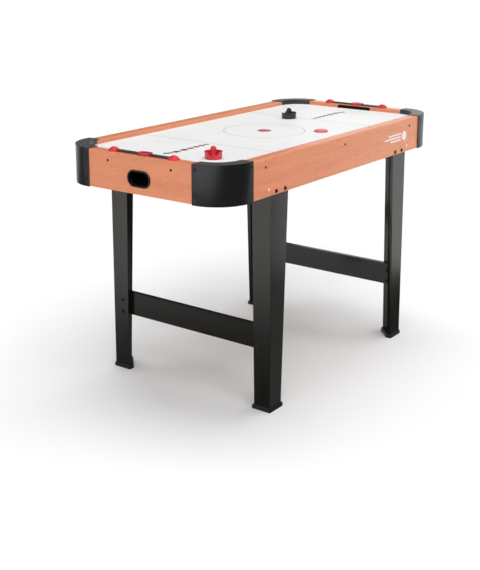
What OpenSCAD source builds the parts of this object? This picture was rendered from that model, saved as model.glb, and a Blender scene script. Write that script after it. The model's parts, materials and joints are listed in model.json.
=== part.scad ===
// Four-foot air hockey table: foil-wrapped rails, moulded corner caps, L-shaped panel legs,
// a perforated playfield over a fan-fed plenum, slide scorers, a puck and two pushers.
// The origin is on the floor under the middle of the table. X runs along the table, Y across it.

/* [Table] */
// Overall length over the corner caps
table_l = 1220; // [1150:10:1400]
// Overall width over the corner caps
table_w = 610; // [570:10:760]
// Height of the rail tops above the floor
rail_top = 760; // [700:5:820]
// Height of the side and end boards
board_h = 110; // [105:1:130]
// Thickness of the side and end boards
board_t = 15; // [12:0.5:18]
// Width of the rails' flat tops, from the outer face
head_w = 37; // [34:1:45]
// Depth of the playfield below the rail tops
play_depth = 13; // [11:0.5:16]

/* [Corner caps] */
// Wall thickness of a moulded cap
cap_t = 3; // [2.5:0.1:4]
// Length of a cap along the table's side
cap_side = 124; // [122:1:140]
// Length of a cap along the table's end
cap_end = 115; // [115:1:130]
// Radius of the outside corner
cap_r = 110; // [100:1:112]
// Radius of the rounded playfield corner
play_r = 75; // [65:1:76]

/* [Legs] */
// Distance of the legs' end faces from the middle of the table
leg_x = 399; // [360:1:440]
// Thickness of a leg panel
leg_t = 15; // [14:0.5:15]
// Width of an end panel under the frame
end_top_w = 65; // [60:1:75]
// Width of an end panel at the foot
end_foot_w = 55; // [50:1:60]
// Width of a side panel under the frame
side_top_w = 87; // [84:1:90]
// Width of a side panel at the foot
side_foot_w = 58; // [50:1:62]
// Height of a foot cap
foot_h = 14; // [12:1:20]

/* [Stretchers] */
// Height of a stretcher's lower edge
stretcher_z = 182; // [120:1:300]
// Height of the stretcher board
stretcher_h = 74; // [60:1:90]

/* [Goals and scorers] */
// Width of the goal slot
goal_w = 135; // [120:1:138]
// Height of the goal slot
goal_h = 11; // [9:0.5:11]
// Width of the puck outlet's bezel
outlet_w = 85; // [78:1:90]
// Height of the puck outlet's bezel
outlet_h = 49; // [44:1:50]
// Distance of a scorer mount from the middle of the end
scorer_y = 110; // [100:1:120]

/* [Puck and pushers] */
// Radius of the puck
puck_r = 22; // [20:0.5:25]
// Thickness of the puck
puck_t = 5; // [4:0.5:6]
// Radius of a pusher's rim
pusher_r = 26; // [24:0.5:30]
// Height of a pusher
pusher_h = 36; // [32:1:42]

/* [Hidden] */
$fn = 48;

// Colours of the materials
foil = [0.87, 0.60, 0.46];
black = [0.13, 0.13, 0.14];
charcoal = [0.24, 0.24, 0.24];
steel = [0.62, 0.62, 0.64];
dark_steel = [0.30, 0.20, 0.16];
red = [0.80, 0.13, 0.18];
board = [0.72, 0.58, 0.42];
white = [0.93, 0.94, 0.94];

// Outer faces of the boards, inside the caps' walls
face_x = table_l / 2 - cap_t;
face_y = table_w / 2 - cap_t;
// Inner faces of the rails, which bound the playfield
play_x = face_x - head_w;
play_y = face_y - head_w;
play_z = rail_top - play_depth;
base_z = rail_top - board_h;
sheet_t = 3;
eps = 0.1;
gap = 0.1;
big = 2000;

// The caps reach 2.5 mm over the rails and hang 1.5 mm below the boards
cap_lip = 2.5;
cap_drop = 1.5;
// The boards end inside the caps, this far from the outer corner
board_end = 85;
edge_r = 3;

// Fasteners
screw_r = 1.75;
bolt_r = 3;
rail_screw_z = play_z - 12;
rail_screw_x = 425;
end_screw_y = 116;
cap_screw_z = [play_z, base_z + 22];
cap_screw_inset = 10;
cap_head_r = 3.5;
cap_head_h = 1.5;
leg_bolt_x = [328, 373];
leg_bolt_z = base_z + 9;
plug_x = 409;
plug_z = base_z + 19;
stretcher_bolt_y = 266;
stretcher_bolt_z = [stretcher_z + 10, stretcher_z + 49];

// Frame parts under the playfield
batten = 20;
plenum_z = base_z + 48;
wall_x = 521;
wall_t = 12;
block_x = leg_x - leg_t - 66;
block_y = 30;
block_z = base_z - 14;
sole_t = 4;
sole_lip = 3;
sole_h = 11;
shoe_wall = 1.5;
shoe_t = 1.2;

// Goal box: a tray behind the end board, open towards the outlet
box_x = 536;
box_w = 140;
box_z = base_z + 22;
box_t = 2;
lining_w = 120;
outlet_z = base_z + 45;
bezel_lip = 3;
bezel_wall = 1.4;

// Scorer: a T-shaped bar between two domes, with a slider hooked over it
scorer_x = face_x - 21;
bar_w = 15;
bar_foot = 9;
bar_t = 5;
mount_r = 17;
mount_base = 2.5;
mount_h = 12;
slider_y = -7;

// Fan under the plenum panel
fan_w = 120;
fan_r = 57;
fan_h = 38;
fan_z = plenum_z - fan_h;
motor_r = 19;
motor_h = 18;
hub_r = 24;
blade_r = 54.5;
blades = 7;
shaft_r = 2;

// Switch plate in the rear board
switch_x = -200;
switch_z = base_z + 24;
plate_w = 62;
plate_h = 34;
plate_t = 1.5;

// Where the loose pieces lie, and which way the pushers' notches face
puck_pos = [90, -159];
red_pos = [-458, -147];
red_turn = 216;
black_pos = [255, 74];
black_turn = 100;
felt_t = 1.5;

// Mirrors its children from the front left quadrant into another one
module quadrant(right, rear) {
    if (right && rear) rotate([0, 0, 180]) children();
    else if (right) mirror([1, 0, 0]) children();
    else if (rear) mirror([0, 1, 0]) children();
    else children();
}

module rounded_rect(l, w, r) {
    square([l - 2 * r, w], center = true);
    square([l, w - 2 * r], center = true);
    for (x = [-1, 1], y = [-1, 1])
        translate([x * (l / 2 - r), y * (w / 2 - r)]) circle(r, $fn = 96);
}

// A round-ended slot, longer along X
module stadium(l, h) {
    square([l - h, h], center = true);
    for (x = [-1, 1]) translate([x * (l - h) / 2, 0]) circle(d = h);
}

// A screw along +Z with its head's underside at 0 and a cross recess in the head
module screw(r, length, head_r, head_h) {
    translate([0, 0, -length]) cylinder(r = r, h = length + eps);
    difference() {
        cylinder(r1 = head_r, r2 = head_r * 0.8, h = head_h);
        for (a = [0, 90])
            rotate([0, 0, a]) translate([-head_r * 0.5, -head_r * 0.12, head_h * 0.4])
                cube([head_r, head_r * 0.24, head_h]);
    }
}

// A button-head bolt along +Z with its head's underside at 0 and a hexagon socket
module bolt(length) {
    translate([0, 0, -length]) cylinder(r = bolt_r, h = length + eps);
    difference() {
        cylinder(r1 = 6, r2 = 4.5, h = 2.6);
        translate([0, 0, 1]) cylinder(r = 2.3, h = 3, $fn = 6);
    }
}

// ---------- rails ----------

module edge_cut(r) {
    difference() {
        translate([-eps, -eps]) square(r + eps);
        translate([r, r]) circle(r);
    }
}

// Cross-section of a rail: the board with its head turned inwards over the playfield
module rail_section() {
    difference() {
        union() {
            square([board_t, board_h]);
            translate([0, board_h - play_depth]) square([head_w, play_depth]);
        }
        translate([0, board_h]) mirror([0, 1]) edge_cut(edge_r);
        translate([head_w, board_h]) rotate(180) edge_cut(edge_r);
    }
}

// Keeps the boards' ends inside the caps' round walls
module inside_caps() {
    translate([0, 0, base_z - 1])
        linear_extrude(board_h + 2) rounded_rect(2 * face_x, 2 * face_y, cap_r - cap_t);
}

module side_rail() {
    half = table_l / 2 - board_end;
    corner = table_l / 2 - play_r - (cap_t + head_w);
    difference() {
        intersection() {
            translate([-half, -face_y, base_z]) rotate([90, 0, 90]) linear_extrude(2 * half) rail_section();
            inside_caps();
        }
        for (s = [-1, 1]) {
            translate([s * (corner - gap * 2 + 50), -play_y, play_z]) cube([100, 8, 60], center = true);
            translate([s * rail_screw_x, 0, 0]) side_hole(screw_r, rail_screw_z);
            for (x = leg_bolt_x) translate([s * x, 0, 0]) side_hole(bolt_r, leg_bolt_z);
            translate([s * plug_x, 0, 0]) side_hole(2.5, plug_z);
            for (z = cap_screw_z)
                translate([s * (table_l / 2 - cap_side + cap_screw_inset), 0, 0]) side_hole(screw_r, z);
        }
        side_hole(screw_r, rail_screw_z);
    }
}

// A clearance hole through the front board
module side_hole(r, z) {
    translate([0, -face_y - 1, z]) rotate([-90, 0, 0]) cylinder(r = r + gap, h = board_t + 2);
}

module end_hole(r, y, z) {
    translate([-face_x - 1, y, z]) rotate([0, 90, 0]) cylinder(r = r + gap, h = board_t + 2);
}

module end_rail() {
    half = table_w / 2 - board_end;
    corner = table_w / 2 - play_r - (cap_t + head_w);
    difference() {
        intersection() {
            translate([-face_x, half, base_z]) rotate([90, 0, 0]) linear_extrude(2 * half) rail_section();
            inside_caps();
        }
        for (s = [-1, 1]) {
            translate([-play_x, s * (corner - gap * 2 + 50), play_z]) cube([8, 100, 60], center = true);
            end_hole(screw_r, s * end_screw_y, rail_screw_z);
            for (z = cap_screw_z) end_hole(screw_r, s * (table_w / 2 - cap_end + cap_screw_inset), z);
            for (m = [-1, 1])
                translate([-scorer_x + m * 10, s * scorer_y, rail_top - 11]) cylinder(r = 1.6, h = 12);
        }
        goal_slot();
        translate([-face_x - 1, 0, outlet_z]) rotate([90, 0, 90]) linear_extrude(board_t + 2)
            stadium(outlet_w - 2 * bezel_lip, outlet_h - 2 * bezel_lip);
    }
}

// The slot under the end rail's head, with rounded upper corners
module goal_slot() {
    translate([-face_x + board_t, 0, play_z - 1]) rotate([90, 0, 90]) linear_extrude(head_w) {
        translate([-goal_w / 2, 0]) square([goal_w, goal_h - 5]);
        translate([-goal_w / 2 + 6, 0]) square([goal_w - 12, goal_h + 1]);
        for (s = [-1, 1]) translate([s * (goal_w / 2 - 6), goal_h - 5]) circle(6);
    }
}

// ---------- corner caps ----------

// Plan of the table's outline with its corner at the origin, shrunk by inset
module outline_plan(inset) {
    translate([table_l / 2, table_w / 2])
        rounded_rect(table_l - 2 * inset, table_w - 2 * inset, cap_r - inset);
}

// The same, out to the ends of a cap's wings
module wing_plan() {
    intersection() {
        outline_plan(0);
        square([cap_side, cap_end]);
    }
}

// Plan of the playfield's rounded corner, grown by extra
module inside_plan(extra) {
    low = cap_t + head_w - extra;
    difference() {
        translate([low, low]) square(big);
        translate([low, low]) edge_cut(play_r + extra);
    }
}

module corner_cap() {
    wall_h = rail_top - base_z + cap_drop + cap_lip;
    color(black) translate([-table_l / 2, -table_w / 2, 0]) difference() {
        union() {
            translate([0, 0, base_z - cap_drop]) linear_extrude(wall_h) difference() {
                wing_plan();
                outline_plan(cap_t);
            }
            translate([0, 0, rail_top]) linear_extrude(cap_lip) difference() {
                wing_plan();
                inside_plan(0);
            }
            translate([0, 0, play_z]) linear_extrude(play_depth + cap_lip) intersection() {
                difference() {
                    inside_plan(cap_t);
                    inside_plan(0);
                }
                square(play_r + cap_t + head_w);
            }
        }
        for (z = cap_screw_z) {
            translate([0, cap_end - cap_screw_inset, z]) rotate([0, 90, 0]) cap_screw_hole();
            translate([cap_side - cap_screw_inset, 0, z]) rotate([-90, 0, 0]) cap_screw_hole();
        }
    }
}

// A countersunk hole along +Z through a cap's wing
module cap_screw_hole() {
    translate([0, 0, -1]) cylinder(r = screw_r + gap, h = cap_t + 8);
    translate([0, 0, -1]) cylinder(r = cap_head_r + gap, h = 1 + cap_head_h);
}

module cap_screws() {
    color(black) for (right = [false, true], rear = [false, true]) quadrant(right, rear)
        for (z = cap_screw_z) {
            translate([-table_l / 2 + cap_head_h, -table_w / 2 + cap_end - cap_screw_inset, z])
                rotate([0, -90, 0]) screw(screw_r, 15, cap_head_r, cap_head_h);
            translate([-table_l / 2 + cap_side - cap_screw_inset, -table_w / 2 + cap_head_h, z])
                rotate([90, 0, 0]) screw(screw_r, 15, cap_head_r, cap_head_h);
        }
}

module rail_screws() {
    color(dark_steel) {
        for (rear = [false, true], x = [-rail_screw_x, 0, rail_screw_x]) quadrant(false, rear)
            translate([x, -face_y, rail_screw_z]) rotate([90, 0, 0]) screw(screw_r, 28, 3.6, 1.4);
        for (right = [false, true], y = [-end_screw_y, end_screw_y]) quadrant(right, false)
            translate([-face_x, y, rail_screw_z]) rotate([0, -90, 0]) screw(screw_r, 28, 3.6, 1.4);
    }
}

module cover_plugs() {
    color([0.95, 0.84, 0.78]) for (rear = [false, true], x = [-plug_x, plug_x]) quadrant(false, rear)
        translate([x, -face_y, plug_z]) rotate([90, 0, 0]) {
            cylinder(r1 = 3.6, r2 = 3.1, h = 0.9);
            translate([0, 0, -8]) cylinder(r = 2.5, h = 8 + eps);
        }
}

// ---------- playfield and plenum ----------

module playfield() {
    sheet_x = face_x - board_t - 2;
    sheet_y = face_y - board_t - 2;
    pitch = 40;
    color(white) translate([0, 0, play_z - sheet_t]) linear_extrude(sheet_t) difference() {
        rounded_rect(2 * sheet_x, 2 * sheet_y, 90);
        for (s = [-1, 1]) translate([s * (play_x + 16), 0]) square([40, goal_w + 4], center = true);
        for (i = [-13.5 : 13.5], j = [-5.5 : 5.5]) translate([i * pitch, j * pitch]) circle(r = 0.8, $fn = 16);
    }
}

module side_battens() {
    color(board) for (rear = [false, true]) quadrant(false, rear) difference() {
        translate([-wall_x + 11, -face_y + board_t, play_z - sheet_t - batten])
            cube([2 * (wall_x - 11), batten, batten]);
        for (x = [-rail_screw_x, 0, rail_screw_x]) translate([x, -face_y + board_t - 1, rail_screw_z])
            rotate([-90, 0, 0]) cylinder(r = screw_r + gap, h = 16);
    }
}

// Two strips at each end, either side of the goal box
module end_battens() {
    inner = box_w / 2 + 4;
    color(board) for (right = [false, true], s = [0, 1]) quadrant(right, false) mirror([0, s]) difference() {
        translate([-face_x + board_t, inner, play_z - sheet_t - batten]) cube([batten, 195 - inner, batten]);
        translate([-face_x + board_t - 1, end_screw_y, rail_screw_z])
            rotate([0, 90, 0]) cylinder(r = screw_r + gap, h = 16);
    }
}

module plenum_panel() {
    color(board) translate([0, 0, plenum_z]) linear_extrude(sheet_t) difference() {
        square([2 * (wall_x + wall_t), 2 * (face_y - board_t) - 1], center = true);
        circle(fan_r);
        fan_corners() circle(2 + gap);
    }
}

module plenum_wall() {
    low = plenum_z + sheet_t;
    color(board) translate([-wall_x - wall_t, -face_y + board_t + 0.5, low])
        cube([wall_t, 2 * (face_y - board_t) - 1, play_z - sheet_t - low]);
}

// ---------- goals ----------

module goal_box() {
    back = -face_x + board_t;
    depth = -box_x - back;
    top = play_z - sheet_t;
    color(black) {
        difference() {
            translate([back, -box_w / 2, box_z]) cube([depth, box_w, top - box_z]);
            translate([back - 1, -box_w / 2 + box_t, box_z + box_t])
                cube([depth + 1 - box_t, box_w - 2 * box_t, top]);
        }
        translate([back, box_w / 2 - 1, box_z + box_t - eps]) rotate([90, 0, 0])
            linear_extrude(box_w - 2) polygon([[0, 0], [depth - 1, 0], [depth - 1, 12]]);
    }
}

// A thin strip on the end board's inner face, behind the slot
module goal_lining() {
    low = outlet_z + outlet_h / 2;
    color(black) translate([-face_x + board_t, -lining_w / 2, low]) cube([1, lining_w, play_z + goal_h - 1 - low]);
}

module outlet_bezel() {
    tube_w = outlet_w - 2 * bezel_lip - 2 * gap;
    tube_h = outlet_h - 2 * bezel_lip - 2 * gap;
    color(black) translate([-face_x, 0, outlet_z]) rotate([90, 0, 90]) difference() {
        union() {
            translate([0, 0, -2]) linear_extrude(2) stadium(outlet_w, outlet_h);
            translate([0, 0, -3]) linear_extrude(1) stadium(outlet_w - 2, outlet_h - 2);
            translate([0, 0, -eps]) linear_extrude(board_t + eps) stadium(tube_w, tube_h);
        }
        translate([0, 0, -4]) linear_extrude(board_t + 6)
            stadium(tube_w - 2 * bezel_wall, tube_h - 2 * bezel_wall);
    }
}

// ---------- scorers ----------

// T-shaped section of the bar, grown by extra
module bar_section(extra) {
    translate([-bar_foot / 2 - extra, -extra]) square([bar_foot + 2 * extra, 2 + 2 * extra]);
    translate([-bar_w / 2 - extra, 2 - extra]) square([bar_w + 2 * extra, bar_t - 2 + 2 * extra]);
}

module bar_solid(length, extra) {
    rotate([90, 0, 0]) linear_extrude(length, center = true) bar_section(extra);
}

module scorer_bar() {
    color(black) translate([-scorer_x, 0, rail_top]) difference() {
        bar_solid(2 * (scorer_y - mount_r + 8), 0);
        for (i = [-5 : 5]) translate([0, i * 16, bar_t]) cube([9, 1.2, 0.8], center = true);
    }
}

module scorer_mounts() {
    rise = mount_h - mount_base;
    dome_r = (mount_r * mount_r + rise * rise) / (2 * rise);
    color(red) for (s = [-1, 1]) translate([-scorer_x, s * scorer_y, rail_top]) difference() {
        union() {
            cylinder(r = mount_r, h = mount_base);
            intersection() {
                translate([0, 0, mount_h - dome_r]) sphere(r = dome_r);
                translate([0, 0, mount_base - eps]) cylinder(r = mount_r, h = mount_h);
            }
        }
        translate([0, -s * mount_r, 0]) bar_solid(2 * (8 + gap), gap);
        for (m = [-1, 1]) translate([m * 10, 0, 0]) {
            translate([0, 0, -1]) cylinder(r = 1.7, h = mount_h);
            translate([0, 0, 4]) cylinder(r = 3.4, h = mount_h);
        }
    }
}

// A low ring with an eye-shaped hole, on a skirt that hooks over the bar
module scorer_slider() {
    color(red) translate([-scorer_x, slider_y, rail_top]) difference() {
        union() {
            translate([0, 0, 0.4]) linear_extrude(6.4) rotate(90) stadium(42, 23);
            translate([0, 0, 6]) linear_extrude(0.9) rotate(90) stadium(46, 26);
            translate([0, 0, 6.8]) linear_extrude(1.2) rotate(90) stadium(48, 28);
        }
        bar_solid(80, 0.3);
        translate([0, 0, bar_t]) linear_extrude(10) intersection_for(s = [-1, 1])
            translate([s * 12, 0]) circle(18.5, $fn = 96);
    }
}

module scorer_screws() {
    color(steel) for (right = [false, true], s = [-1, 1], m = [-1, 1]) quadrant(right, false)
        translate([-scorer_x + m * 10, s * scorer_y, rail_top + 4]) screw(1.5, 14, 3, 1.8);
}

// ---------- legs ----------

// Keeps one side of the mitre between a leg's two panels
module mitre_keep(side) {
    translate([-leg_x, -face_y, 0]) rotate([0, 0, 45]) translate([0, side * big / 2, rail_top / 2])
        cube([big, big, rail_top], center = true);
}

module leg_end_panel() {
    y = face_y;
    top = plenum_z - 10;
    color(charcoal) difference() {
        intersection() {
            translate([-leg_x, 0, 0]) rotate([90, 0, 90]) linear_extrude(leg_t) polygon([
                [-y, sole_t], [-y, base_z], [-y + board_t + gap, base_z], [-y + board_t + gap, top],
                [-y + end_top_w, top], [-y + end_top_w, base_z], [-y + end_foot_w, sole_t]
            ]);
            mitre_keep(1);
        }
        for (z = stretcher_bolt_z) translate([-leg_x - 1, -stretcher_bolt_y, z])
            rotate([0, 90, 0]) cylinder(r = bolt_r + gap, h = leg_t + 2);
    }
}

module leg_side_panel() {
    x = leg_x;
    color(charcoal) intersection() {
        translate([0, -face_y + leg_t, 0]) rotate([90, 0, 0]) linear_extrude(leg_t) polygon([
            [-x, sole_t], [-x, base_z], [-x + side_top_w, base_z], [-x + side_foot_w, sole_t]
        ]);
        mitre_keep(-1);
    }
}

// Blocks inside the tops of the legs, which the leg bolts clamp to the side boards
module leg_blocks() {
    color(charcoal) for (right = [false, true], rear = [false, true]) quadrant(right, rear) difference() {
        translate([-leg_x + leg_t, -face_y + board_t, block_z])
            cube([leg_x - leg_t - block_x, block_y, plenum_z - block_z]);
        for (x = leg_bolt_x) translate([-x, -face_y + board_t - 1, leg_bolt_z])
            rotate([-90, 0, 0]) cylinder(r = bolt_r + gap, h = block_y + 2);
    }
}

// Plan of a foot cap: a triangle with cut tips, grown by extra round the leg
module foot_plan(extra) {
    x = -leg_x - extra;
    y = -face_y - extra;
    tip = leg_t + shoe_wall + extra;
    polygon([
        [x, y], [-leg_x + side_foot_w + 3 + extra, y], [-leg_x + side_foot_w + 3 + extra, y + tip],
        [x + tip, -face_y + end_foot_w + 3 + extra], [x, -face_y + end_foot_w + 3 + extra]
    ]);
}

module foot_cap() {
    color(black) difference() {
        union() {
            linear_extrude(sole_h) foot_plan(sole_lip);
            linear_extrude(foot_h) foot_plan(shoe_t);
        }
        translate([-leg_x, -face_y, sole_t]) {
            cube([side_foot_w + 1, leg_t, foot_h]);
            cube([leg_t, end_foot_w + 1, foot_h]);
        }
    }
}

module stretcher() {
    y = face_y - leg_t;
    color(charcoal) difference() {
        translate([-leg_x + leg_t, -y, stretcher_z]) cube([board_t, 2 * y, stretcher_h]);
        for (s = [-1, 1], z = stretcher_bolt_z) translate([-leg_x + leg_t - 1, s * stretcher_bolt_y, z])
            rotate([0, 90, 0]) cylinder(r = bolt_r + gap, h = board_t + 2);
    }
}

// Puts its children at each leg bolt, with Z pointing out of the table
module at_leg_bolts(depth) {
    for (right = [false, true], rear = [false, true], x = leg_bolt_x) quadrant(right, rear)
        translate([-x, -face_y + depth, leg_bolt_z]) rotate([90, 0, 0]) children();
}

module at_stretcher_bolts(depth) {
    for (right = [false, true], rear = [false, true], z = stretcher_bolt_z) quadrant(right, rear)
        translate([-leg_x + depth, -stretcher_bolt_y, z]) rotate([0, -90, 0]) children();
}

module leg_bolts() {
    color(dark_steel) at_leg_bolts(0) bolt(board_t + block_y + 9);
}

module stretcher_bolts() {
    color(black) at_stretcher_bolts(0) bolt(leg_t + board_t + 9);
}

module washer() {
    translate([0, 0, -1.5]) difference() {
        cylinder(r = 7, h = 1.5);
        translate([0, 0, -1]) cylinder(r = bolt_r + gap, h = 4);
    }
}

module nut() {
    translate([0, 0, -6.5]) difference() {
        cylinder(r = 5.7, h = 5, $fn = 6);
        translate([0, 0, -1]) cylinder(r = bolt_r + gap, h = 7);
    }
}

module washers() {
    color(black) {
        at_leg_bolts(board_t + block_y) washer();
        at_stretcher_bolts(leg_t + board_t) washer();
    }
}

module nuts() {
    color(black) {
        at_leg_bolts(board_t + block_y) nut();
        at_stretcher_bolts(leg_t + board_t) nut();
    }
}

// ---------- fan ----------

module fan_corners() {
    for (x = [-1, 1], y = [-1, 1]) translate([x * (fan_w / 2 - 7.5), y * (fan_w / 2 - 7.5)]) children();
}

module fan_housing() {
    color(black) translate([0, 0, fan_z]) {
        linear_extrude(fan_h) difference() {
            rounded_rect(fan_w, fan_w, 6);
            circle(fan_r);
            fan_corners() circle(2 + gap);
        }
        linear_extrude(3) {
            circle(motor_r + 2);
            for (a = [30, 150, 270]) rotate(a) translate([0, -3]) square([fan_r + 1, 6]);
        }
    }
}

module fan_motor() {
    color(steel) translate([0, 0, fan_z + 3]) {
        cylinder(r = motor_r, h = motor_h);
        cylinder(r = shaft_r, h = motor_h + 6);
    }
}

module fan_impeller() {
    low = fan_z + 6;
    color(black) translate([0, 0, low]) {
        difference() {
            cylinder(r = hub_r, h = 22);
            translate([0, 0, -1]) cylinder(r = motor_r + 1.5, h = 19);
            cylinder(r = shaft_r + 0.05, h = 30);
        }
        for (i = [0 : blades - 1]) rotate([0, 0, i * 360 / blades]) translate([hub_r - 1, 0, 11])
            rotate([35, 0, 0]) translate([0, -1, -12]) cube([blade_r - hub_r, 2, 24]);
    }
}

module fan_grille() {
    color(black) translate([0, 0, fan_z - 3]) linear_extrude(3) difference() {
        union() {
            difference() {
                rounded_rect(fan_w, fan_w, 6);
                circle(fan_r - 1);
            }
            for (r = [15, 29, 43]) difference() {
                circle(r);
                circle(r - 3);
            }
            for (a = [0, 90]) rotate(a) square([2 * fan_r, 4], center = true);
        }
        fan_corners() circle(2 + gap);
    }
}

module fan_screws() {
    color(steel) translate([0, 0, fan_z - 3]) fan_corners() mirror([0, 0, 1]) screw(2, fan_h + 9, 3.6, 2.2);
}

// ---------- switch ----------

rocker_x = switch_x - 14;
inlet_x = switch_x + 16;
rocker_y = face_y - 3;

module switch_plate() {
    collar = 14;
    color(black) difference() {
        union() {
            translate([switch_x - plate_w / 2, face_y, switch_z - plate_h / 2]) cube([plate_w, plate_t, plate_h]);
            translate([rocker_x - 9, face_y - collar, switch_z - 12]) cube([18, collar + eps, 24]);
        }
        translate([rocker_x - 7, face_y - collar - 1, switch_z - 10.5]) cube([14, collar + 5, 21]);
        translate([rocker_x, rocker_y, switch_z]) rotate([0, 90, 0]) cylinder(r = 1.05, h = 30, center = true);
        translate([inlet_x, face_y - 1, switch_z]) rotate([-90, 0, 0]) cylinder(r = 5.5 + gap, h = 4);
    }
}

// The rocker's faces meet in a shallow V; at rest its upper half is pressed in
module rocker_switch() {
    color(red) translate([rocker_x, rocker_y, switch_z]) {
        rotate([10, 0, 0]) rotate([90, 0, 90]) linear_extrude(13.4, center = true)
            polygon([[4.2, -9.4], [2.6, 0], [4.2, 9.4], [-2, 8.4], [-4.5, 0], [-2, -8.4]]);
        rotate([0, 90, 0]) cylinder(r = 1, h = 16.4, center = true);
    }
}

module power_inlet() {
    color(black) translate([inlet_x, face_y + plate_t, switch_z]) rotate([-90, 0, 0]) {
        difference() {
            union() {
                cylinder(r = 7.2, h = 1.2);
                translate([0, 0, -16]) cylinder(r = 5.5, h = 16 + eps);
            }
            translate([0, 0, -10]) cylinder(r = 3.2, h = 12);
        }
        translate([0, 0, -11]) cylinder(r = 1, h = 10);
    }
}

module rear_rail() {
    difference() {
        mirror([0, 1, 0]) side_rail();
        translate([switch_x, face_y - board_t / 2, switch_z])
            cube([plate_w - 8, board_t + 2, plate_h - 8], center = true);
    }
}

// ---------- puck and pushers ----------

module puck() {
    color(red) translate([puck_pos.x, puck_pos.y, play_z + gap]) difference() {
        rotate_extrude() polygon([
            [0, 0], [puck_r - 0.6, 0], [puck_r, 0.6], [puck_r, puck_t - 0.6], [puck_r - 0.6, puck_t], [0, puck_t]
        ]);
        translate([0, 0, puck_t - 0.5]) difference() {
            cylinder(r = puck_r - 4, h = 2);
            cylinder(r = puck_r - 5.5, h = 5, center = true);
        }
    }
}

// A flared dish with a round-topped knob and one notch down through its wall
module pusher_body() {
    rim = 21;
    knob = 9;
    floor_z = 5;
    wall = 3;
    difference() {
        rotate_extrude() {
            polygon([
                [0, felt_t], [pusher_r - 1.5, felt_t], [pusher_r - 1, rim - 4], [pusher_r, rim - 2],
                [pusher_r, rim - 0.8], [pusher_r - 0.8, rim], [pusher_r - wall + 0.6, rim],
                [pusher_r - wall, rim - 1], [pusher_r - wall - 1, floor_z + 3], [pusher_r - wall - 3, floor_z],
                [knob + 4, floor_z], [knob, floor_z + 7], [knob - 0.5, pusher_h - 6], [0, pusher_h - 6]
            ]);
            intersection() {
                translate([0, pusher_h - knob]) circle(knob);
                translate([0, pusher_h - knob]) square(knob);
            }
        }
        translate([knob + 5, 0, 0]) rotate([90, 0, 90]) linear_extrude(pusher_r) polygon([
            [-17, rim + 1], [-14, rim - 4], [-8, floor_z + 4], [-4, floor_z + 1],
            [4, floor_z + 1], [8, floor_z + 4], [14, rim - 4], [17, rim + 1]
        ]);
    }
}

module pusher(place, turn, tint) {
    color(tint) translate([place.x, place.y, play_z + gap]) rotate([0, 0, turn]) pusher_body();
}

module felt(place, tint) {
    color(tint) translate([place.x, place.y, play_z + gap]) difference() {
        cylinder(r = pusher_r - 3, h = felt_t);
        translate([0, 0, -1]) cylinder(r = pusher_r - 12, h = 4);
    }
}

// ---------- the table ----------

color(foil) side_rail();  // side_rail_front
color(foil) rear_rail();  // side_rail_rear
color(foil) end_rail();  // end_rail_left
color(foil) mirror([1, 0, 0]) end_rail();  // end_rail_right
quadrant(false, false) corner_cap();  // corner_cap_front_left
quadrant(true, false) corner_cap();  // corner_cap_front_right
quadrant(false, true) corner_cap();  // corner_cap_rear_left
quadrant(true, true) corner_cap();  // corner_cap_rear_right
cap_screws();
rail_screws();
cover_plugs();
playfield();
side_battens();
end_battens();
plenum_panel();
plenum_wall();  // plenum_wall_left
mirror([1, 0, 0]) plenum_wall();  // plenum_wall_right
goal_box();  // goal_box_left
mirror([1, 0, 0]) goal_box();  // goal_box_right
goal_lining();  // goal_lining_left
mirror([1, 0, 0]) goal_lining();  // goal_lining_right
outlet_bezel();  // outlet_bezel_left
mirror([1, 0, 0]) outlet_bezel();  // outlet_bezel_right
scorer_bar();  // scorer_bar_left
mirror([1, 0, 0]) scorer_bar();  // scorer_bar_right
scorer_mounts();  // scorer_mounts_left
mirror([1, 0, 0]) scorer_mounts();  // scorer_mounts_right
scorer_slider();  // scorer_slider_left
mirror([1, 0, 0]) scorer_slider();  // scorer_slider_right
scorer_screws();
quadrant(false, false) leg_end_panel();  // leg_end_front_left
quadrant(true, false) leg_end_panel();  // leg_end_front_right
quadrant(false, true) leg_end_panel();  // leg_end_rear_left
quadrant(true, true) leg_end_panel();  // leg_end_rear_right
quadrant(false, false) leg_side_panel();  // leg_side_front_left
quadrant(true, false) leg_side_panel();  // leg_side_front_right
quadrant(false, true) leg_side_panel();  // leg_side_rear_left
quadrant(true, true) leg_side_panel();  // leg_side_rear_right
leg_blocks();
quadrant(false, false) foot_cap();  // foot_front_left
quadrant(true, false) foot_cap();  // foot_front_right
quadrant(false, true) foot_cap();  // foot_rear_left
quadrant(true, true) foot_cap();  // foot_rear_right
stretcher();  // stretcher_left
mirror([1, 0, 0]) stretcher();  // stretcher_right
leg_bolts();
stretcher_bolts();
washers();
nuts();
fan_housing();
fan_motor();
fan_impeller();
fan_grille();
fan_screws();
switch_plate();
rocker_switch();
power_inlet();
puck();
pusher(red_pos, red_turn, red);  // pusher_red
felt(red_pos, [0.75, 0.2, 0.2]);  // pusher_red_felt
pusher(black_pos, black_turn, black);  // pusher_black
felt(black_pos, charcoal);  // pusher_black_felt
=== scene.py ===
"""Looks of a four-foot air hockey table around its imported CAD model.

Everything is in metres in the CAD model's frame: the origin is on the floor under the middle of the
table, X runs along it and Y across it, and the long front side faces -Y.
"""

import json
import math

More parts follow.
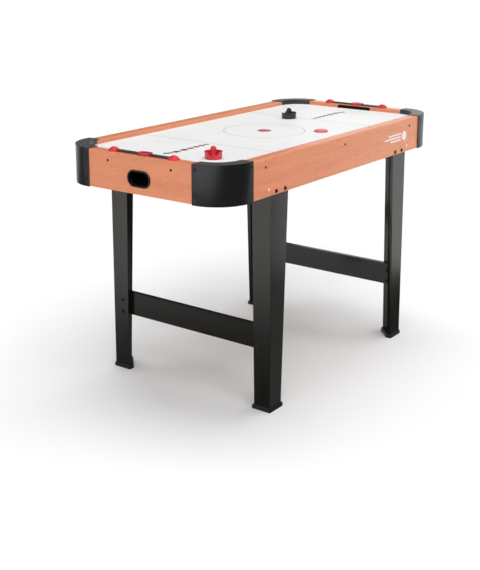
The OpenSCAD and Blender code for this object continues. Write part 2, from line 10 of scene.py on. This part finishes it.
import bmesh
import bpy
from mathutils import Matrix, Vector

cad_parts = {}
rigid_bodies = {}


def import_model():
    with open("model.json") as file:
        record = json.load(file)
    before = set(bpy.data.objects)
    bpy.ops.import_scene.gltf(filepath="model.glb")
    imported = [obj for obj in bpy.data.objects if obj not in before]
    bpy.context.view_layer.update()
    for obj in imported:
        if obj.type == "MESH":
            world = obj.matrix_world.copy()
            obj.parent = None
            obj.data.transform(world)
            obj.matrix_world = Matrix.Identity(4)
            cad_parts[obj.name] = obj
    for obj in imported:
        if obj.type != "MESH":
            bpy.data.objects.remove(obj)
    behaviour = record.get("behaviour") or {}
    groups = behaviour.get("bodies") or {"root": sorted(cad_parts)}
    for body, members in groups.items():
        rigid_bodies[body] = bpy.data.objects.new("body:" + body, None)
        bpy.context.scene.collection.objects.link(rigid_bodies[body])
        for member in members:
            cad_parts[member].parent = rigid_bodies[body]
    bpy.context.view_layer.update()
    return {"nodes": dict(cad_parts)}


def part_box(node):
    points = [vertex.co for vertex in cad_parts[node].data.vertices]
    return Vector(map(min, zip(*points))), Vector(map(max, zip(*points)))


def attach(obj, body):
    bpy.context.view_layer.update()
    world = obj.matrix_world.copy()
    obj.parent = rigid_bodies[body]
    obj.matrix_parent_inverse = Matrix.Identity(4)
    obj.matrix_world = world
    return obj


for leftover in list(bpy.data.objects):
    bpy.data.objects.remove(leftover)

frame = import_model()

MM = 0.001
X_AXIS, Y_AXIS, Z_AXIS = range(3)

# A square's corners in order, in units of half its side
SQUARE = ((-1, -1), (1, -1), (1, 1), (-1, 1))

# The Mix node's sockets when it mixes colours
MIX_SHARE, MIX_FIRST, MIX_SECOND = 0, 6, 7
MIX_RESULT = 2


def add_object(name, data):
    """A new object in the scene with that mesh, light or camera."""
    made = bpy.data.objects.new(name, data)
    bpy.context.scene.collection.objects.link(made)
    return made


def direction(heading, rise):
    """The unit vector that way. Both angles are in radians, heading from X towards Y and rise upwards."""
    return Vector((math.cos(heading) * math.cos(rise), math.sin(heading) * math.cos(rise), math.sin(rise)))


# ---------- materials ----------


class Wiring:
    """Adds nodes to a shader's node tree and links them."""

    def __init__(self, tree):
        self.tree = tree

    def node(self, kind, **settings):
        made = self.tree.nodes.new(kind)
        for name, value in settings.items():
            setattr(made, name, value)
        return made

    def feed(self, socket, value):
        """Links value to the socket if it is another socket, and stores it there if not."""
        if isinstance(value, bpy.types.NodeSocket):
            self.tree.links.new(value, socket)
        else:
            socket.default_value = value

    def span(self, value, low, high, to_low=0.0, to_high=1.0):
        """value mapped from low..high to to_low..to_high, and clamped."""
        made = self.node("ShaderNodeMapRange")
        self.feed(made.inputs["Value"], value)
        made.inputs["From Min"].default_value = low
        made.inputs["From Max"].default_value = high
        made.inputs["To Min"].default_value = to_low
        made.inputs["To Max"].default_value = to_high
        return made.outputs["Result"]

    def mix(self, share, first, second):
        """The colours first and second, mixed. share is how much of it is second."""
        made = self.node("ShaderNodeMix", data_type="RGBA")
        self.feed(made.inputs[MIX_SHARE], share)
        self.feed(made.inputs[MIX_FIRST], first)
        self.feed(made.inputs[MIX_SECOND], second)
        return made.outputs[MIX_RESULT]

    def maths(self, operation, *values):
        made = self.node("ShaderNodeMath", operation=operation)
        for socket, value in zip(made.inputs, values):
            self.feed(socket, value)
        return made.outputs[0]


class Paint(Wiring):
    """A node material while it is being wired. place is the surface point in object coordinates."""

    def __init__(self, name):
        self.material = bpy.data.materials.new(name)
        self.material.use_nodes = True
        super().__init__(self.material.node_tree)
        self.shader = self.tree.nodes["Principled BSDF"]
        self.place = self.node("ShaderNodeTexCoord").outputs["Object"]

    def stretched(self, scale):
        """The surface point, scaled by a different amount along each axis."""
        made = self.node("ShaderNodeMapping")
        self.feed(made.inputs["Vector"], self.place)
        made.inputs["Scale"].default_value = scale
        return made.outputs["Vector"]

    def noise(self, scale, detail=4.0, roughness=0.5, warp=0.0, place=None):
        made = self.node("ShaderNodeTexNoise")
        self.feed(made.inputs["Vector"], place or self.place)
        made.inputs["Scale"].default_value = scale
        made.inputs["Detail"].default_value = detail
        made.inputs["Roughness"].default_value = roughness
        made.inputs["Distortion"].default_value = warp
        return made.outputs[0]

    def cells(self, scale):
        """The distance from the nearest of many scattered points."""
        made = self.node("ShaderNodeTexVoronoi")
        self.feed(made.inputs["Vector"], self.place)
        made.inputs["Scale"].default_value = scale
        return made.outputs["Distance"]

    def inside(self, low, high):
        """1 in the box from low to high and in its mirror images across the planes X = 0 and Y = 0."""
        split = self.node("ShaderNodeSeparateXYZ")
        self.feed(split.inputs[0], self.place)
        share = 1.0
        for axis, place in enumerate(split.outputs):
            if axis != Z_AXIS:
                place = self.maths("ABSOLUTE", place)
            middle = (low[axis] + high[axis]) / 2
            within = self.maths("COMPARE", place, middle, high[axis] - middle)
            share = self.maths("MULTIPLY", share, within)
        return share

    def finish(self, colour, roughness, relief=None, depth=0.0, **inputs):
        """Wires the shader. relief is a height of 0 to 1, which stands for depth metres."""
        self.feed(self.shader.inputs["Base Color"], colour)
        self.feed(self.shader.inputs["Roughness"], roughness)
        if relief is not None:
            bump = self.node("ShaderNodeBump")
            bump.inputs["Distance"].default_value = depth
            self.feed(bump.inputs["Height"], relief)
            self.feed(self.shader.inputs["Normal"], bump.outputs["Normal"])
        for name, value in inputs.items():
            self.feed(self.shader.inputs[name.replace("_", " ")], value)
        return self.material


def shade(colour, factor):
    """colour, brighter or darker, as RGBA."""
    return tuple(channel * factor for channel in colour[:3]) + (1.0,)


# The goal slot's walls, where shade is painted on near black, from just behind the head's inner face to
# the lining on the end board
GOAL_HALF_WIDTH = 68.5 * MM
GOAL_HEIGHT = 12 * MM
HEAD_FACE_DEPTH = 1 * MM
field_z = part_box("playfield")[1].z
slot_shade_low = Vector((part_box("end_rail_right")[0].x + HEAD_FACE_DEPTH, 0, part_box("playfield")[0].z))
slot_shade_high = Vector((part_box("goal_lining_right")[1].x, GOAL_HALF_WIDTH, field_z + GOAL_HEIGHT))


def wood_foil(name, along):
    """Printed beech foil with its grain along the axis of that index. The goal slots' walls carry painted
    shade, near black.
    """
    light = (0.750, 0.262, 0.120, 1.0)
    dark = (0.660, 0.212, 0.090, 1.0)
    pore = (0.480, 0.130, 0.052, 1.0)
    slot_painted_shade = (0.012, 0.006, 0.004, 1.0)
    paint = Paint(name)
    band_scale = [34.0, 34.0, 34.0]
    band_scale[along] = 2.2
    fleck_scale = [300.0, 300.0, 300.0]
    fleck_scale[along] = 45.0
    bands = paint.noise(1.0, 5.0, 0.6, 0.8, paint.stretched(band_scale))
    flecks = paint.noise(1.0, 3.0, 0.6, 0.0, paint.stretched(fleck_scale))
    colour = paint.mix(paint.span(bands, 0.35, 0.68), light, dark)
    colour = paint.mix(paint.span(flecks, 0.52, 0.74, 0.0, 0.5), colour, pore)
    # Painted shade: the foil on the goal slot's walls is turned near black, standing in for the shadow
    # inside the slot
    colour = paint.mix(paint.inside(slot_shade_low, slot_shade_high), colour, slot_painted_shade)
    roughness = paint.span(flecks, 0.3, 0.7, 0.34, 0.46)
    return paint.finish(colour, roughness, flecks, 0.06 * MM, Coat_Weight=0.6, Coat_Roughness=0.28)


def moulded_plastic(name, colour, roughness, texture_size, texture_depth, shine=0.5, bloom=0.0):
    """Injection-moulded plastic with an eroded surface texture of that size and depth in millimetres.

    shine is the strength of its reflections, and bloom that of the pale haze on faces seen at a slant.
    """
    paint = Paint(name)
    grain = paint.noise(1.0 / (texture_size * MM), 2.0, 0.6)
    handling = paint.noise(9.0, 3.0, 0.6)
    tint = paint.mix(paint.span(handling, 0.3, 0.7), shade(colour, 0.9), shade(colour, 1.12))
    gloss = paint.span(handling, 0.3, 0.7, roughness - 0.05, roughness + 0.06)
    haze = {"Sheen_Weight": bloom, "Sheen_Roughness": 0.3}
    return paint.finish(tint, gloss, grain, texture_depth * MM, Specular_IOR_Level=shine, **haze)


def charcoal_foil(name, along, shine):
    """Dark satin foil with a faint ash grain along the axis of that index, and warmish reflections."""
    dark = (0.005, 0.005, 0.004, 1.0)
    light = (0.010, 0.009, 0.007, 1.0)
    warmth = (1.0, 0.98, 0.94, 1.0)
    paint = Paint(name)
    streak_scale = [260.0, 260.0, 260.0]
    streak_scale[along] = 5.0
    streaks = paint.noise(1.0, 4.0, 0.65, 0.3, paint.stretched(streak_scale))
    colour = paint.mix(paint.span(streaks, 0.35, 0.7), dark, light)
    roughness = paint.span(streaks, 0.3, 0.7, 0.12, 0.19)
    gloss = {"Specular_IOR_Level": shine, "Specular_Tint": warmth}
    return paint.finish(colour, roughness, streaks, 0.03 * MM, **gloss)


def white_laminate(name):
    """The playfield's coated white board, with a very faint cloudiness."""
    clear = (0.800, 0.800, 0.793, 1.0)
    cloudy = (0.765, 0.765, 0.765, 1.0)
    paint = Paint(name)
    clouds = paint.noise(6.0, 4.0, 0.55)
    dust = paint.noise(900.0, 2.0, 0.5)
    colour = paint.mix(paint.span(clouds, 0.3, 0.7), cloudy, clear)
    roughness = paint.span(dust, 0.3, 0.7, 0.30, 0.38)
    return paint.finish(colour, roughness, dust, 0.01 * MM, Specular_IOR_Level=0.05)


def particle_board(name):
    """Bare particle board: light chips, darker glue between them, and dark specks."""
    chip = (0.42, 0.27, 0.15, 1.0)
    glue = (0.30, 0.18, 0.09, 1.0)
    speck = (0.16, 0.09, 0.04, 1.0)
    paint = Paint(name)
    chips = paint.cells(260.0)
    specks = paint.noise(700.0, 3.0, 0.7)
    colour = paint.mix(chips, chip, glue)
    colour = paint.mix(paint.span(specks, 0.55, 0.75, 0.0, 0.6), colour, speck)
    return paint.finish(colour, 0.85, specks, 0.3 * MM)


def brushed_metal(name, colour, roughness):
    """Metal with fine scratches along Z."""
    paint = Paint(name)
    scratches = paint.noise(1.0, 3.0, 0.6, 0.0, paint.stretched((2500.0, 2500.0, 300.0)))
    tint = paint.mix(paint.span(scratches, 0.3, 0.7), shade(colour, 0.82), shade(colour, 1.1))
    gloss = paint.span(scratches, 0.3, 0.7, roughness - 0.08, roughness + 0.08)
    return paint.finish(tint, gloss, scratches, 0.02 * MM, Metallic=1.0)


def wool_felt(name, colour):
    """Pressed felt with loose fibres."""
    paint = Paint(name)
    fibres = paint.noise(1600.0, 4.0, 0.75, 1.5)
    tint = paint.mix(paint.span(fibres, 0.35, 0.65), shade(colour, 0.6), shade(colour, 1.3))
    return paint.finish(tint, 0.95, fibres, 0.6 * MM, Sheen_Weight=0.5)


def printing_ink(name, colour):
    """Screen-printed ink: a dense colour with the slightest unevenness."""
    paint = Paint(name)
    cover = paint.noise(300.0, 3.0, 0.6)
    tint = paint.mix(paint.span(cover, 0.3, 0.7), shade(colour, 0.93), shade(colour, 1.05))
    return paint.finish(tint, paint.span(cover, 0.3, 0.7, 0.30, 0.42), cover, 0.01 * MM)


RED = (0.60, 0.032, 0.045)
BLACK = (0.007, 0.007, 0.008)

# The numbers of a moulded plastic are its roughness, and its texture's size and depth
SLOT_MATERIALS = {
    "cap_black": moulded_plastic(
        "cap_black_look", (0.007, 0.0075, 0.0075), 0.36, 0.9, 0.12, shine=0.8, bloom=0.26
    ),
    "box_black": moulded_plastic("box_black_look", (0.002, 0.002, 0.002), 0.70, 1.2, 0.1, shine=0.1),
    "bezel_black": moulded_plastic("bezel_black_look", BLACK, 0.33, 0.7, 0.04),
    "bar_black": moulded_plastic("bar_black_look", (0.030, 0.029, 0.029), 0.36, 0.8, 0.04),
    "foot_black": moulded_plastic("foot_black_look", BLACK, 0.50, 1.2, 0.15),
    "fan_black": moulded_plastic("fan_black_look", (0.018, 0.018, 0.019), 0.48, 0.8, 0.06),
    "switch_black": moulded_plastic("switch_black_look", (0.016, 0.016, 0.017), 0.42, 0.6, 0.05),
    "pusher_black_plastic": moulded_plastic("pusher_black_look", (0.016, 0.016, 0.018), 0.26, 1.2, 0.02),
    "plug_light": moulded_plastic("plug_light_look", (0.88, 0.74, 0.64), 0.40, 0.6, 0.02),
    "scorer_red": moulded_plastic("scorer_red_look", RED, 0.27, 1.0, 0.02),
    "puck_red": moulded_plastic("puck_red_look", (0.68, 0.085, 0.105), 0.30, 0.9, 0.02),
    "pusher_red_plastic": moulded_plastic("pusher_red_look", RED, 0.24, 1.2, 0.02),
    "rocker_red": moulded_plastic("rocker_red_look", (0.50, 0.012, 0.016), 0.25, 0.6, 0.02),
    "playfield_white": white_laminate("playfield_look"),
    "raw_board": particle_board("raw_board_look"),
    "steel": brushed_metal("steel_look", (0.60, 0.60, 0.61), 0.32),
    "motor_metal": brushed_metal("motor_metal_look", (0.52, 0.52, 0.52), 0.40),
    "screw_black": brushed_metal("screw_black_look", (0.07, 0.07, 0.07), 0.50),
    "screw_dark": brushed_metal("screw_dark_look", (0.085, 0.024, 0.014), 0.42),
    "felt_red": wool_felt("felt_red_look", (0.42, 0.03, 0.03)),
    "felt_black": wool_felt("felt_black_look", (0.03, 0.03, 0.03)),
    "leg_charcoal": charcoal_foil("leg_charcoal_look", Z_AXIS, 0.8),
}
FOIL_ALONG_X = wood_foil("rail_foil_long_look", X_AXIS)
FOIL_ALONG_Y = wood_foil("rail_foil_short_look", Y_AXIS)
CHARCOAL_ALONG_Y = charcoal_foil("stretcher_look", Y_AXIS, 0.5)
NODE_MATERIALS = {
    "side_rail_front": FOIL_ALONG_X,
    "side_rail_rear": FOIL_ALONG_X,
    "end_rail_left": FOIL_ALONG_Y,
    "end_rail_right": FOIL_ALONG_Y,
    "stretcher_left": CHARCOAL_ALONG_Y,
    "stretcher_right": CHARCOAL_ALONG_Y,
}

for node_name, node in frame["nodes"].items():
    for material_slot in node.material_slots:
        slot_name = material_slot.material.name
        material_slot.material = NODE_MATERIALS.get(node_name) or SLOT_MATERIALS[slot_name]


# ---------- softened edges ----------

EDGE_WIDTHS = {
    "leg_end_": 0.9 * MM,
    "leg_side_": 0.9 * MM,
    "foot_": 1.2 * MM,
    "corner_cap_": 0.7 * MM,
    "goal_box_": 0.4 * MM,
    "scorer_bar_": 0.35 * MM,
    "switch_plate": 0.4 * MM,
    "outlet_bezel_": 0.4 * MM,
}

# Corners closer than this are one corner, and facets that meet flatter than this are one face
SAME_CORNER = 0.02 * MM
FLAT_ANGLE = math.radians(0.5)
# Edges that turn by more than this are sharp
SHARP_ANGLE = math.radians(40)


def soften_edges(node, width):
    """Rounds a carried-over CAD node's sharp edges with modifiers. Its own mesh stays as it is."""
    weld = node.modifiers.new("join_facets", "WELD")
    weld.merge_threshold = SAME_CORNER
    flatten = node.modifiers.new("join_triangles", "DECIMATE")
    flatten.decimate_type = "DISSOLVE"
    flatten.angle_limit = FLAT_ANGLE
    bevel = node.modifiers.new("soft_edges", "BEVEL")
    bevel.width = width
    bevel.segments = 3
    bevel.limit_method = "ANGLE"
    bevel.angle_limit = SHARP_ANGLE
    bevel.harden_normals = True


for node_name, node in frame["nodes"].items():
    for prefix, edge_width in EDGE_WIDTHS.items():
        if node_name.startswith(prefix):
            soften_edges(node, edge_width)


# ---------- printed marks ----------

INK_THICKNESS = 0.05 * MM


class Print:
    """Flat ink marks in one colour on a plane. at() turns a point of the plane into one in space."""

    def __init__(self, name, material, at):
        self.name = name
        self.material = material
        self.at = at
        self.bm = bmesh.new()

    def loop(self, outline, height):
        return [self.bm.verts.new(self.at(u, v, height)) for u, v in outline]

    def bridge(self, first, second):
        """Quads between two closed loops of the same length."""
        for i in range(len(first)):
            j = (i + 1) % len(first)
            self.bm.faces.new((first[i], first[j], second[j], second[i]))

    def patch(self, outline):
        """The area inside the outline, as thick as the ink."""
        low = self.loop(outline, 0.0)
        high = self.loop(outline, INK_THICKNESS)
        self.bm.faces.new(low)
        self.bm.faces.new(high)
        self.bridge(low, high)

    def bar(self, u, v, length, width):
        """A rectangle, length along u, with its middle at (u, v)."""
        self.patch([(u + a * length / 2, v + b * width / 2) for a, b in SQUARE])

    def disc(self, u, v, radius):
        self.patch(circle(u, v, radius))

    def ring(self, u, v, radius, width):
        outer = circle(u, v, radius + width / 2)
        inner = circle(u, v, radius - width / 2)
        loops = [
            self.loop(outer, 0.0),
            self.loop(outer, INK_THICKNESS),
            self.loop(inner, INK_THICKNESS),
            self.loop(inner, 0.0),
        ]
        for first, second in zip(loops, loops[1:] + loops[:1]):
            self.bridge(first, second)

    def finish(self, slot):
        bmesh.ops.recalc_face_normals(self.bm, faces=self.bm.faces)
        mesh = bpy.data.meshes.new(self.name)
        self.bm.to_mesh(mesh)
        self.bm.free()
        mesh.materials.append(self.material)
        made = add_object(self.name, mesh)
        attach(made, "table")


def circle(u, v, radius, steps=96):
    turns = [2 * math.pi * i / steps for i in range(steps)]
    return [(u + radius * math.cos(t), v + radius * math.sin(t)) for t in turns]


front_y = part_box("side_rail_front")[0].y


def on_field(u, v, height):
    return Vector((u, v, field_z + height))


def on_front(u, v, height):
    return Vector((u, front_y - height, v))


def print_playfield():
    """The centre circle, the cross lines, and a stick made of dashes in front of each goal."""
    grey = Print("field_lines", printing_ink("grey_ink_look", (0.50, 0.50, 0.50)), on_field)
    red = Print("field_spots", printing_ink("red_ink_look", (0.46, 0.07, 0.11)), on_field)
    pink = Print("field_shafts", printing_ink("pink_ink_look", (0.74, 0.42, 0.43)), on_field)
    dark = Print("field_dashes", printing_ink("dark_ink_look", (0.060, 0.022, 0.027)), on_field)
    circle_radius = 0.131
    spot_radius = 0.023
    circle_width = 0.004
    cross_x = 0.282
    cross_width = 0.0045
    rail_gap = 0.002
    cross_half = (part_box("side_rail_rear")[0].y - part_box("side_rail_front")[1].y) / 2 - rail_gap
    # Where each dash of a stick starts and ends along X
    dash_spans = (
        (0.298, 0.306),
        (0.320, 0.331),
        (0.344, 0.357),
        (0.370, 0.385),
        (0.398, 0.419),
        (0.434, 0.455),
    )
    dash_width = 0.019
    shaft_width = 0.010
    shaft_end = 0.464
    shaft_end_width = 0.012
    blade = ((0.466, 0.008), (0.463, -0.007), (0.483, -0.019), (0.490, -0.006))
    grey.ring(0, 0, circle_radius, circle_width)
    red.disc(0, 0, spot_radius)
    for side in (-1, 1):
        grey.bar(side * cross_x, 0, cross_width, 2 * cross_half)
        reach = 0.0
        for start, end in dash_spans:
            dark.bar(side * (start + end) / 2, 0, end - start, dash_width)
            if reach:
                pink.bar(side * (reach + start) / 2, 0, start - reach, shaft_width)
            reach = end
        pink.bar(side * (reach + shaft_end) / 2, 0, shaft_end - reach, shaft_end_width)
        dark.patch([(side * u, side * v) for u, v in blade])
    for ink in (grey, red, pink, dark):
        ink.finish("playfield_white")


def print_emblem():
    """A plain disc with three speed lines on the front rail."""
    disc_x = 0.389
    disc_height = 0.706
    disc_radius = 0.0155
    lines_end = 0.365
    line_width = 0.005
    # Each line's height and length
    lines = ((0.716, 0.085), (0.706, 0.112), (0.696, 0.070))
    white = Print("rail_emblem", printing_ink("white_ink_look", (0.80, 0.78, 0.76)), on_front)
    white.disc(disc_x, disc_height, disc_radius)
    for height, length in lines:
        white.bar(lines_end - length / 2, height, length, line_width)
    white.finish("plug_light")


print_playfield()
print_emblem()


# ---------- stage ----------


def make_floor():
    """A pale floor that is clear when seen from below."""
    half_width = 30.0
    mesh = bpy.data.meshes.new("studio_floor")
    corners = [(a * half_width, b * half_width, 0) for a, b in SQUARE]
    mesh.from_pydata(corners, [], [(0, 1, 2, 3)])
    floor = add_object("studio_floor", mesh)
    paint = Paint("studio_floor_look")
    clouds = paint.noise(0.7, 2.0)
    colour = paint.mix(clouds, (0.855, 0.860, 0.866, 1), (0.875, 0.880, 0.886, 1))
    seen_from_below = paint.node("ShaderNodeNewGeometry").outputs["Backfacing"]
    cover = paint.span(seen_from_below, 0.0, 1.0, 1.0, 0.0)
    paint.finish(colour, 0.9, Specular_IOR_Level=0.0, Alpha=cover)
    mesh.materials.append(paint.material)
    # The legs' satin foil mirrors the studio's darker lower half and not the floor
    floor.visible_glossy = False


# How far away the studio's cards and suns stand
STUDIO_RADIUS = 5.0


def make_card(name, heading, half_width, low, high, glow=0.02):
    """A dim upright card in that direction, in degrees, from height low to high, for reflections."""
    turn = math.radians(heading)
    middle = STUDIO_RADIUS * direction(turn, 0.0)
    across = half_width * Vector((-math.sin(turn), math.cos(turn), 0))
    ends = (middle - across, middle + across)
    corners = [end + Vector((0, 0, z)) for z in (low, high) for end in ends]
    mesh = bpy.data.meshes.new(name)
    mesh.from_pydata(corners, [], [(0, 1, 3, 2)])
    card = add_object(name, mesh)
    paint = Paint(name + "_look")
    tint = paint.mix(paint.noise(2.0), (0.9, 0.9, 0.9, 1), (1.0, 1.0, 1.0, 1))
    light = {"Emission_Color": tint, "Emission_Strength": glow}
    paint.finish((0, 0, 0, 1), 1.0, Specular_IOR_Level=0.0, **light)
    mesh.materials.append(paint.material)
    card.visible_camera = False
    card.visible_diffuse = False
    card.visible_shadow = False


def make_world():
    """A white studio. In reflections it is white round the horizon, greyer overhead and dark below."""
    world = bpy.data.worlds.new("studio")
    world.use_nodes = True
    wiring = Wiring(world.node_tree)
    split = wiring.node("ShaderNodeSeparateXYZ")
    ramp = wiring.node("ShaderNodeValToRGB")
    wiring.feed(split.inputs["Vector"], wiring.node("ShaderNodeTexCoord").outputs["Generated"])
    wiring.feed(ramp.inputs["Fac"], wiring.span(split.outputs["Z"], -1.0, 1.0))
    ramp.color_ramp.elements.remove(ramp.color_ramp.elements[0])
    # A direction's height, from 0 straight down to 1 straight up, and how white the studio is there
    levels = ((0.321, 0.02), (0.350, 1.0), (0.60, 1.0), (0.78, 0.55))
    for i, (position, level) in enumerate(levels):
        stop = ramp.color_ramp.elements[0] if i == 0 else ramp.color_ramp.elements.new(position)
        stop.position = position
        stop.color = (level, level, level, 1)
    backdrop = wiring.node("ShaderNodeLightPath").outputs["Is Camera Ray"]
    colour = wiring.mix(backdrop, ramp.outputs["Color"], (1, 1, 1, 1))
    background = world.node_tree.nodes["Background"]
    wiring.feed(background.inputs["Color"], colour)
    wiring.feed(background.inputs["Strength"], 1.0)
    # The suns light the table, and the studio shows in reflections and behind it
    world.cycles_visibility.diffuse = False
    bpy.context.scene.world = world


# Name, heading, height, spread and strength of each sun
SUNS = (
    ("overhead_sun", 60, 80, 30, 0.77),
    ("rear_sun", 60, 62, 45, 0.46),
    ("rear_fill_sun", 100, 45, 50, 0.34),
    ("right_sun", 330, 60, 45, 0.95),
    ("corner_sun", 240, 55, 45, 1.26),
    ("front_sun", 285, 12, 60, 0.81),
    ("end_sun", 195, 12, 60, 1.64),
)


def make_sun(name, heading, height, spread, strength):
    """A far soft light. Degrees: heading and height say where it stands, and spread how wide it is."""
    lamp = bpy.data.lights.new(name, "SUN")
    lamp.angle = math.radians(spread)
    lamp.energy = strength
    sun = add_object(name, lamp)
    towards_sun = direction(math.radians(heading), math.radians(height))
    sun.location = towards_sun * STUDIO_RADIUS
    sun.rotation_euler = (-towards_sun).to_track_quat("-Z", "Y").to_euler()
    sun.visible_glossy = False


def make_camera():
    """The photograph's view of the table."""
    data = bpy.data.cameras.new("main_camera")
    data.sensor_fit = "AUTO"
    data.sensor_width = 36.0
    data.lens = 65.45
    data.shift_y = -0.1842
    camera = add_object("main_camera", data)
    camera.location = (-2.7055, -1.8861, 1.3189)
    camera.rotation_euler = direction(0.6325, -0.2195).to_track_quat("-Z", "Y").to_euler()
    bpy.context.scene.camera = camera


make_floor()
make_world()
make_card("front_card", 266, 7.6, -4.0, 4.0)
make_card("left_card", 114, 1.9, -4.0, 4.0)
make_card("rear_card", 72, 4.2, 1.3, 7.0)
make_card("right_card", 340, 1.0, -4.0, -1.2)
make_card("low_card", 319, 0.9, -4.0, -1.2, 0.18)
for sun_settings in SUNS:
    make_sun(*sun_settings)
make_camera()
bpy.context.scene.view_settings.view_transform = "Standard"
